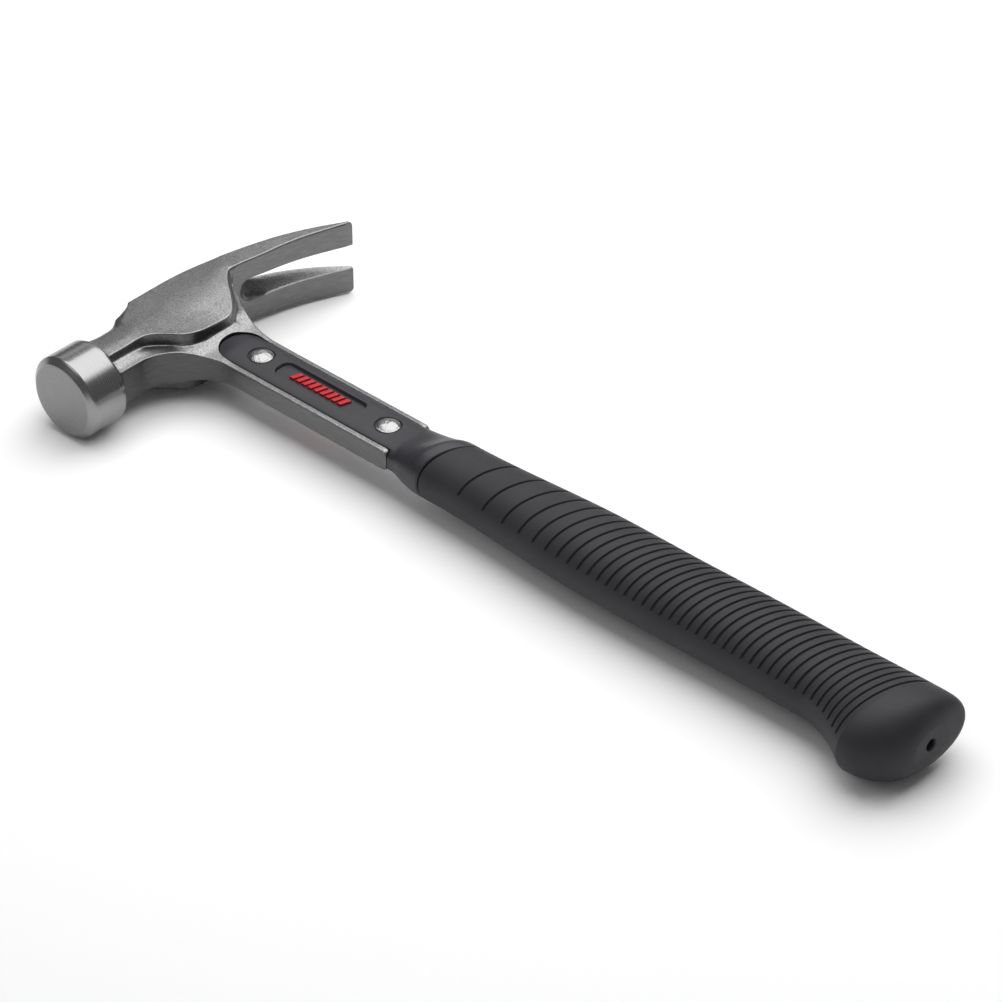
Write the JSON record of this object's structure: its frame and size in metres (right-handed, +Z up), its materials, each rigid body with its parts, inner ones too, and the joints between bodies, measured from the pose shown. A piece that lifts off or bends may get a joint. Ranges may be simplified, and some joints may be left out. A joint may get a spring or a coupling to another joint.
{
  "type": "framing hammer",
  "caption": "Framing hammer with a smooth round face, a straight split claw and a forged T-shank riveted into a forked plastic shaft with a ribbed rubber grip and a hooked butt.",
  "frame": {"origin": "under the middle of the hammer's outer box, at the level of its lowest point as it lies on its side", "axes": "+X along the handle from the head to the butt, -Y the way the striking face looks, +Y towards the claw's tips, +Z up out of the upper cheek"},
  "size_m": [0.361, 0.136, 0.032],
  "materials": {
    "forged_steel": "forged grey steel with a fine grain, the bell machined bright",
    "magnet": "plated magnet",
    "rivets": "bright plated domes",
    "shaft_plastic": "satin black moulding",
    "inlay_red": "red moulded plastic",
    "grip_rubber": "matte charcoal rubber with grooves"
  },
  "bodies": {
    "root": {"head_forging": "forged_steel", "starter_magnet": "magnet", "shaft": "shaft_plastic", "upper_rivet": "rivets", "lower_rivet": "rivets", "top_inlay": "inlay_red", "bottom_inlay": "inlay_red", "grip": "grip_rubber"}
  },
  "joints": []
}
